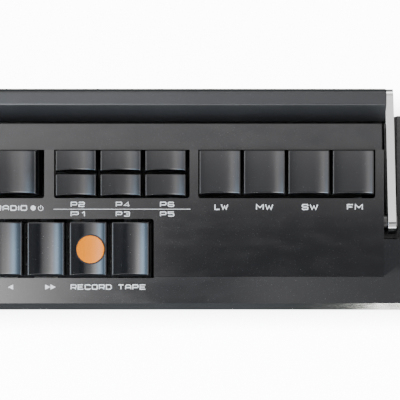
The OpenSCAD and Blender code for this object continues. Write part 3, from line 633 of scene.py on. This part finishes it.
def round_corners(width, height, r, steps=8):
    """Points round a rectangle with round corners, centred on the origin."""
    points, centre_x, centre_z = [], width / 2 - r, height / 2 - r
    for sx, sz, start in ((1, 1, 0), (-1, 1, 90), (-1, -1, 180), (1, -1, 270)):
        for i in range(steps + 1):
            turn = math.radians(start + 90 * i / steps)
            points.append((sx * centre_x + r * math.cos(turn), sz * centre_z + r * math.sin(turn)))
    return points


def skin(mesh, loops):
    """Joins each loop to the next one, and the last to the first."""
    for a, b in zip(loops, loops[1:] + loops[:1]):
        for i in range(len(a)):
            j = (i + 1) % len(a)
            mesh.faces.new((a[i], a[j], b[j], b[i]))


def louvre(mesh, half, z, tall, deep):
    """A pressed louvre with rounded edges, along X."""
    turns = [math.tau * i / 16 for i in range(16)]
    section = [(deep * (0.5 + 0.5 * math.copysign(abs(math.cos(t)) ** 0.6, math.cos(t))),
                z + tall / 2 * math.copysign(abs(math.sin(t)) ** 0.6, math.sin(t))) for t in turns]
    ends = [[mesh.verts.new((x, y + 0.1, zz)) for y, zz in section] for x in (-half, half)]
    for i in range(16):
        j = (i + 1) % 16
        mesh.faces.new((ends[0][i], ends[0][j], ends[1][j], ends[1][i]))
    mesh.faces.new(ends[0])
    mesh.faces.new(ends[1][::-1])


for name in ("left_grille", "right_grille"):
    low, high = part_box(name)
    width, depth, height = (high - low) / MM
    mesh = bmesh.new()
    rim = [(0.0, depth), (0.0, 0.8), (0.25, 0.25), (0.8, 0.0), (GRILLE_RIM - 0.8, 0.0),
           (GRILLE_RIM - 0.2, 0.25), (GRILLE_RIM, 0.7), (GRILLE_RIM, depth)]
    outlines = [(y, round_corners(width - 2 * d, height - 2 * d, GRILLE_CORNER - d)) for d, y in rim]
    skin(mesh, [[mesh.verts.new((x, y, z)) for x, z in outline] for y, outline in outlines])
    pitch = (height - 2 * GRILLE_RIM - 2) / LOUVRES
    louvre_half = width / 2 - GRILLE_RIM + 0.1
    for i in range(LOUVRES + 1):
        louvre(mesh, louvre_half, (i - LOUVRES / 2) * pitch, pitch * LOUVRE_TALL, depth - 0.2)
    middle = (low + high) / 2 / MM
    pressing = as_piece(mesh, name + "_pressing", grille_enamel, "cabinet",
                        (middle.x, low.y / MM, middle.z), 40)
    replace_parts(pressing, name)

# ---- Loudspeakers ----
# Behind each grille a basket of black painted steel holds a pressed paper cone with a rolled surround
# and a dust cap over the coil.

basket_paint = moulded_plastic("basket_paint", (0.010, 0.010, 0.011), (0.014, 0.014, 0.015), roughness=0.5,
                               grain_scale=900.0, grain_depth=0.00002)
finish(ease_edges("speaker_frames", 0.3), basket_paint)
cone_paper, shader, place = new_finish("cone_paper", IOR=1.45)
fibre = place.noise(1500.0, 5.0, 0.7)
pulp = fibre.ramp((0.3, 0.0), (0.8, 1.0))
wire_up(shader, Base_Color=pulp.blend((0.018, 0.018, 0.019), (0.05, 0.05, 0.052)),
        Roughness=fibre * 0.2 + 0.72, Normal=bump(fibre, 0.8, 0.0001))
finish(ease_edges("speaker_cones", 0), cone_paper)

# ---- Cassette door ----
# A flat black moulding hinged at its foot. Its smoked window shows the running cassette, and a pocket
# on its inner face carries the cassette outwards.

door_black = moulded_plastic("door_black", (0.022, 0.022, 0.024), (0.028, 0.028, 0.030), roughness=0.34,
                             grain_scale=2600.0, grain_depth=0.00002, dust=0.3)
finish(ease_edges("cassette_door", 0.3), door_black)


def clear_plastic(name, tint, roughness, alpha):
    """Thin clear sheet, tinted, with faint scratches. Its alpha lets what is behind it show."""
    material, shader, place = new_finish(name, IOR=1.49)
    scratch = place.stretched(1.0, 1.0, 7.0).noise(500.0, 3.0, 0.7).ramp((0.6, 0.0), (0.72, 1.0))
    haze = place.noise(60.0, 3.0, 0.6)
    wire_up(shader, Base_Color=haze.blend(tint, tuple(c * 1.15 for c in tint)),
            Roughness=scratch * 0.25 + haze * 0.03 + roughness, Alpha=scratch * 0.06 + haze * 0.04 + alpha)
    return material


finish(ease_edges("door_window", 0.25), clear_plastic("smoked_window", (0.03, 0.032, 0.036), 0.06, 0.52))
face_sunk, legend_z = 1.5, 142.5
upright = Matrix.Rotation(math.pi / 2, 4, "X")
door_art = Artwork()
door_art.words("STEREO CASSETTE", 0, 0, 3.2, 44.0)
legend_at = (0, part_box("cassette_door")[0].y + (face_sunk - PRINT_LIFT) * MM, legend_z * MM)
door_art.piece("door_legend", print_white, "cassette_door",
               Matrix.Translation(legend_at) @ upright)

# ---- Tuning dial ----
# A black printed plate lies behind a clear window. An orange pointer runs along it on a cord that the
# tuning knob's drum winds.

dial_black = moulded_plastic("dial_black", (0.008, 0.008, 0.009), (0.012, 0.012, 0.013), roughness=0.3,
                             grain_scale=3000.0, grain_depth=0.00001)
finish(ease_edges("dial_scale", 0.2), dial_black)
finish(ease_edges("dial_window", 0.3), clear_plastic("dial_clear", (0.02, 0.021, 0.022), 0.03, 0.05))
pointer_orange, shader, place = new_finish("pointer_orange", IOR=1.5, Coat_Weight=0.2)
tone = place.noise(400.0, 3.0, 0.5)
wire_up(shader, Base_Color=tone.blend((0.85, 0.16, 0.02), (0.95, 0.22, 0.04)), Roughness=tone * 0.1 + 0.28)
finish(ease_edges("dial_pointer", 0.15), pointer_orange)

scales = Artwork()
low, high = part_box("dial_window")
dial_middle, dial_half, dial_z, plate_thick = (low.x + high.x) / 2 / MM, 113.5, 201, 1.4
dial_left, dial_right = dial_middle - dial_half, dial_middle + dial_half
rows = (("FM", 9.6, "88 90 92 94 96 98 100 102 104 106 108"), ("SW", 3.2, "6 7 8 9 10 11 12 13 14 16"),
        ("MW", -3.2, "530 600 700 800 1000 1200 1400 1600"), ("LW", -9.6, "150 180 210 240 270 300 340"))
for title, height, printed in rows:
    scales.words(title, dial_left - 27, height, 2.6, 6.5)
    scales.bar(dial_left, height - 2.2, dial_right, height - 2.0)
    numbers = printed.split()
    for i, number in enumerate(numbers):
        x = dial_left + 2 * dial_half * i / (len(numbers) - 1)
        scales.words(number, x, height + 0.5, 1.9, 2.3 * len(number) - 0.4 - number.count("1"))
        for k in range(5 if i < len(numbers) - 1 else 1):
            tick = x + 2 * dial_half / (len(numbers) - 1) * k / 5
            scales.bar(tick - 0.12, height - 2.1, tick + 0.12, height - (0.9 if k == 0 else 1.5))
# To the right of the scales is a tuning meter of eleven bars.
for i in range(11):
    scales.bar(dial_right + 12 + 2.2 * i, -1.5, dial_right + 13 + 2.2 * i, 1.5)
scales.words("TUNING", dial_right + 23.5, -6.0, 2.2, 12.0)
print_at = (0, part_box("dial_scale")[1].y - (plate_thick + PRINT_LIFT) * MM, dial_z * MM)
scales.piece("dial_print", print_white, "cabinet", Matrix.Translation(print_at) @ upright)

# ---- Tuning knob ----
# A turned aluminium knob with a knurled rim and a spun face. It turns a steel spindle with the cord drum
# on its inner end.

knob_metal, shader, place = new_finish("knob_metal", Metallic=1.0)
knob_low, knob_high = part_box("tuning_knob")
knob_x, knob_z = (knob_low.x + knob_high.x) / 2, (knob_low.z + knob_high.z) / 2
from_axis = place.make("VectorMath", {"operation": "SUBTRACT"}, {0: place, 1: (knob_x, 0, knob_z)})
flat = from_axis.make("VectorMath", {"operation": "MULTIPLY"}, {0: from_axis, 1: (1, 0, 1)})
radius = flat.make("VectorMath", {"operation": "LENGTH"}, {0: flat}, out=1)
spun = radius.make("CombineXYZ", None, {"X": radius}).noise(4200.0, 3.0, 0.7)
wire_up(shader, Base_Color=spun.blend((0.58, 0.59, 0.60), (0.74, 0.75, 0.76)),
        Roughness=spun * 0.2 + 0.2,
        Normal=bump(spun, 0.25, 0.00001))
knob = bmesh.new()
ribs, knob_r = 90, 16.0
profile = [(0.0, 0.6), (knob_r - 4.2, 0.6), (knob_r - 3.8, 0.3), (knob_r - 3.4, 0.05), (knob_r - 1.7, 0.0),
           (knob_r - 1.1, 0.25), (knob_r - 0.6, 0.9), (knob_r - 0.5, 1.2), (knob_r, 1.6), (knob_r, 10.6),
           (knob_r - 0.4, 11.0), (knob_r - 1.0, 11.38), (0.0, 11.4)]
rings = []
for r, y in profile:
    ring = []
    for k in range(ribs * 4):
        turn = math.tau * k / (ribs * 4)
        knurl = 0.35 * (0.5 - 0.5 * math.cos(math.tau * k / 4)) if 1.5 < y < 10.8 else 0.0
        out = r - knurl
        ring.append(knob.verts.new((out * math.cos(turn), y, out * math.sin(turn))) if r else None)
    rings.append(ring if r else knob.verts.new((0, y, 0)))
for a, b in zip(rings, rings[1:]):
    for k in range(ribs * 4):
        n = (k + 1) % (ribs * 4)
        if not isinstance(a, list):
            knob.faces.new((a, b[n], b[k]))
        elif not isinstance(b, list):
            knob.faces.new((a[k], a[n], b))
        else:
            knob.faces.new((a[k], a[n], b[n], b[k]))
spindle_bar, cord_drum = (3.0, 11.3, 22.0), (12.3, 22.0, 26.0)
for r, y0, y1 in (spindle_bar, cord_drum):
    bmesh.ops.create_cone(knob, cap_ends=True, segments=48, radius1=r, radius2=r, depth=y1 - y0,
                          matrix=Matrix.Translation((0, (y0 + y1) / 2, 0)) @ upright)
add_block(knob, (-0.35, 0.45, knob_r - 9.5), (0.35, 0.7, knob_r - 4.6))
knob_piece = as_piece(knob, "tuning_knob_turned", knob_metal, "tuning_knob",
                      (knob_x / MM, knob_low.y / MM, knob_z / MM), 30)
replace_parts(knob_piece, "tuning_knob")

# ---- Aerial ----
# Chromed brass tubes slide in each other, down inside the left shoulder. Only the collar and the rod's
# button stand above it when the aerial is pushed in.

for name in ("aerial_collar", "aerial_outer_tube", "aerial_middle_tube", "aerial_rod"):
    finish(ease_edges(name, 0.2), chrome)

# ---- Sockets ----
# The rear wall has a flat mains inlet with two pins, and two round five-pole audio sockets.
# No lead is plugged in.

brass = metal("pin_brass", (0.78, 0.66, 0.42), 0.24, 500.0)
sockets_x, contact_circle, contact_r, pin_r = -140, 4.2, 0.75, 1.2
for name, z in (("lower_socket", 58.0), ("upper_socket", 86.0)):
    insert = bmesh.new()
    for k in range(5):
        turn = math.radians(180 + 45 * k)
        at = (sockets_x + contact_circle * math.cos(turn), 37.3, z + contact_circle * math.sin(turn))
        bmesh.ops.create_cone(insert, cap_ends=True, segments=16, radius1=contact_r, radius2=contact_r,
                              depth=0.5, matrix=Matrix.Translation(at) @ upright)
    as_piece(insert, name + "_contacts", brass, "cabinet", smooth=30)
pins = bmesh.new()
for side in (-1, 1):
    bmesh.ops.create_cone(pins, cap_ends=True, segments=24, radius1=pin_r, radius2=pin_r, depth=8.0,
                          matrix=Matrix.Translation((sockets_x + side * 4.3, 36.0, 25.0)) @ upright)
as_piece(pins, "inlet_pins", brass, "cabinet", smooth=30)

# ---- Feet ----
# Four discs of black rubber are stuck under the base. The deck's drive belt and pinch roller are
# of the same rubber.

rubber, shader, place = new_finish("rubber", IOR=1.5)
bloom = place.noise(900.0, 4.0, 0.7)
wire_up(shader, Base_Color=bloom.blend((0.014, 0.014, 0.014), (0.035, 0.034, 0.033)),
        Roughness=bloom * 0.2 + 0.65, Normal=bump(bloom, 0.5, 0.00005))
for name in ("rubber_feet", "drive_belt", "pinch_roller"):
    finish(ease_edges(name, 0.2), rubber)

# ---- Cells ----
# Six round cells lie in two rows behind the battery cover, each in a printed steel sleeve.

sleeve, shader, place = new_finish("cell_sleeve", Metallic=0.6, Coat_Weight=0.3)
cell_length, band_start = 0.061, 0.045
band = place.maths("MODULO", place.axis("X") + 1.0, cell_length)
grime = place.noise(300.0, 3.0, 0.6)
wire_up(shader, Base_Color=(band > band_start).blend((0.05, 0.09, 0.16), (0.62, 0.46, 0.16)),
        Roughness=grime * 0.15 + 0.25)
finish(ease_edges("battery_cells", 0.3), sleeve)

# ---- Tape deck ----
# A zinc plated steel plate carries the spindles, capstan, heads and pinch roller. The flywheel, belt
# and motor are behind it.

plate_steel = metal("plate_steel", (0.66, 0.65, 0.60), 0.3, 400.0, turned=(1, 1, 5))
turned_steel = metal("turned_steel", (0.60, 0.60, 0.61), 0.22, 500.0, turned=(1, 20, 1))
motor_can = metal("motor_can", (0.50, 0.50, 0.48), 0.36, 300.0)
spindle_white, shader, place = new_finish("spindle_white", IOR=1.5)
tone = place.noise(300.0, 3.0, 0.5)
wire_up(shader, Base_Color=tone.blend((0.70, 0.68, 0.60), (0.80, 0.78, 0.71)), Roughness=tone * 0.15 + 0.3)
deck_finishes = {"deck_chassis": plate_steel, "head_carriage": plate_steel, "pinch_roller_arm": plate_steel,
                 "capstan_flywheel": turned_steel, "deck_motor": motor_can, "motor_pulley": brass,
                 "supply_spindle": spindle_white, "take_up_spindle": spindle_white}
for name, material in deck_finishes.items():
    finish(ease_edges(name, 0.15), material)

# ---- Circuit board ----
# One laminate board hangs on posts under the keys. It carries their switches, the slider controls,
# the coils and the capacitors. Its brown is darkened nearly to black as painted shade, so the gaps
# between the keys look dark.

laminate, shader, place = new_finish("laminate", IOR=1.5)
weave = place.noise(120.0, 4.0, 0.6)
# Very dark brown: the laminate's own tint, darkened nearly to black as painted shade for the gaps between the
# keys.
wire_up(shader, Base_Color=weave.blend((0.020, 0.018, 0.010), (0.035, 0.030, 0.018)),
        Roughness=weave * 0.2 + 0.4)
finish(ease_edges("circuit_board", 0.15), laminate)

# ---- Studio ----
# The recorder stands on a white floor. A wide ceiling sheet glows in zones: overhead, a blind to the front
# left, a bluish window further left, and a faint glow to the front right. Soft lights fill the rest.


GLOW, CEILING_ABOVE_PANEL = 12.0, 1.2


def stage_sheet(name, half, height):
    """A flat square sheet of the set, with its shader and object coordinates."""
    sheet = bpy.data.meshes.new(name)
    corners = [(-half, -half, height), (half, -half, height), (half, half, height), (-half, half, height)]
    sheet.from_pydata(corners, [], [(0, 1, 2, 3)])
    obj = bpy.data.objects.new(name, sheet)
    bpy.context.collection.objects.link(obj)
    material, shader, place = new_finish(name, Roughness=0.9)
    finish(obj, material)
    return obj, shader, place


floor, shader, place = stage_sheet("floor", 4, 0)
tooth = place.noise(30.0, 3.0, 0.5)
# The floor glows white, but its glow fades to nothing within 25 mm of the recorder's footprint: a painted
# shadow round the base. Diffuse and glossy rays don't see the floor, so it lights nothing.
half_width, half_depth = 0.2, 0.044
past_x = place.maths("ABSOLUTE", place.axis("X")) - half_width
past_y = place.maths("ABSOLUTE", place.axis("Y")) - half_depth
gap = past_x.maths("MAXIMUM", past_x, past_y)
wire_up(shader, Base_Color=tooth.blend((0.86, 0.86, 0.86), (0.88, 0.88, 0.88)),
        Emission_Color=(gap * 40).ramp((0.0, 0.0), (1.0, 1.0)).blend((0, 0, 0), (1, 1, 1)))
shader.inputs["Emission Strength"].default_value = GLOW
floor.visible_diffuse = floor.visible_glossy = False

ceiling, shader, place = stage_sheet("ceiling", 1.6, panel_top + CEILING_ABOVE_PANEL)
across, along = place.axis("X"), place.axis("Y")
towards_rear = along.ramp((0.0, 0.115), (0.02, 0.105), (0.034, 0.105), (0.06, 0.17), (0.08, 0.28),
                          (0.1, 0.15), (0.16, 0.14), (0.4, 0.15), (1.0, 0.1))
sideways = (across * 0.5 + 0.5).ramp((0.14, 0.3), (0.25, 0.9), (0.45, 1.0), (0.485, 1.0), (0.53, 0.85),
                                     (0.56, 0.75), (0.635, 0.72), (0.75, 0.64), (1.0, 0.3))
in_front = (0.007 - along).ramp((0.0, 0.0), (0.014, 1.0))
past_middle = (across + 0.01).ramp((0.0, 0.0), (0.09, 0.9), (0.2, 0.93), (0.4, 0.75))
overhead = towards_rear * sideways * (1 - in_front * past_middle)
blind = (0.006 - across).ramp((0.0, 0.0), (0.053, 0.04), (0.085, 0.12), (0.15, 0.24), (0.21, 0.34),
                              (0.28, 0.22), (0.48, 0.06), (0.63, 0.0))
blind_depth = (0.1 - along).ramp((0.0, 0.09), (0.066, 0.15), (0.1, 0.2), (0.125, 0.26), (0.145, 0.4),
                                 (0.175, 0.5), (0.4, 0.6), (0.55, 1.0))
glow = (across - 0.1).ramp((0.0, 0.0), (0.08, 0.12), (0.14, 0.05), (0.3, 0.04))
low_glow = (-0.35 - along).ramp((0.0, 0.0), (0.06, 1.0))
window = (-0.2 - across).ramp((0.0, 0.0), (0.03, 0.1), (0.19, 0.65), (0.25, 0.7), (0.39, 0.35), (0.5, 0.2),
                              (0.8, 0.05))
window_depth = (0.1 - along).ramp((0.0, 0.02), (0.066, 0.05), (0.1, 0.4), (0.145, 1.0), (0.18, 1.0))
warm = (overhead + blind * blind_depth * 2.5 + glow * low_glow).scaled((1.0, 0.97, 0.97))
blue = (window * window_depth).scaled((0.42, 0.70, 1.0))
wire_up(shader, Base_Color=place.blend((0, 0, 0), (0, 0, 0)),
        Emission_Color=warm.make("VectorMath", {"operation": "ADD"}, {0: warm, 1: blue}))
shader.inputs["Emission Strength"].default_value = GLOW
ceiling.visible_camera = False


def soft_light(name, at, towards, size, power, colour=(1, 1, 1)):
    data = bpy.data.lights.new(name, "AREA")
    data.shape, data.size, data.size_y = "RECTANGLE", size[0], size[1]
    data.energy, data.color = power, colour
    obj = bpy.data.objects.new(name, data)
    obj.location = at
    obj.rotation_euler = (Vector(towards) - Vector(at)).to_track_quat("-Z", "Y").to_euler()
    bpy.context.collection.objects.link(obj)


soft_light("front_light", (0.3, -1.6, 1.2), (0, 0, 0.15), (1.8, 0.9), 14)
soft_light("rear_light", (0.3, 1.7, 1.3), (0, 0, 0.1), (1.8, 0.9), 14)
soft_light("left_light", (-1.8, -0.2, 0.75), (0, 0, 0.2), (1.0, 0.8), 24)
soft_light("bright_gap", (0.262, -0.9, 0.245), (0.18, 0, 0.23), (0.02, 0.03), 0.22, (0.97, 1.0, 0.9))
soft_light("green_gap", (0.40, -0.9, 0.245), (0.2, 0, 0.23), (0.2, 0.05), 0.04, (0.75, 1.0, 0.85))
soft_light("front_gap", (-0.3, -0.9, 0.245), (-0.1, 0, 0.23), (1.0, 0.1), 0.2, (0.84, 0.93, 1.0))
soft_light("right_light", (1.5, -0.2, 0.9), (0.1, 0, 0.15), (0.7, 1.4), 8)
world = bpy.data.worlds.new("studio")
world.use_nodes = True
world.node_tree.nodes["Background"].inputs["Color"].default_value = (1, 1, 1, 1)
world.node_tree.nodes["Background"].inputs["Strength"].default_value = 0.25
bpy.context.scene.world = world
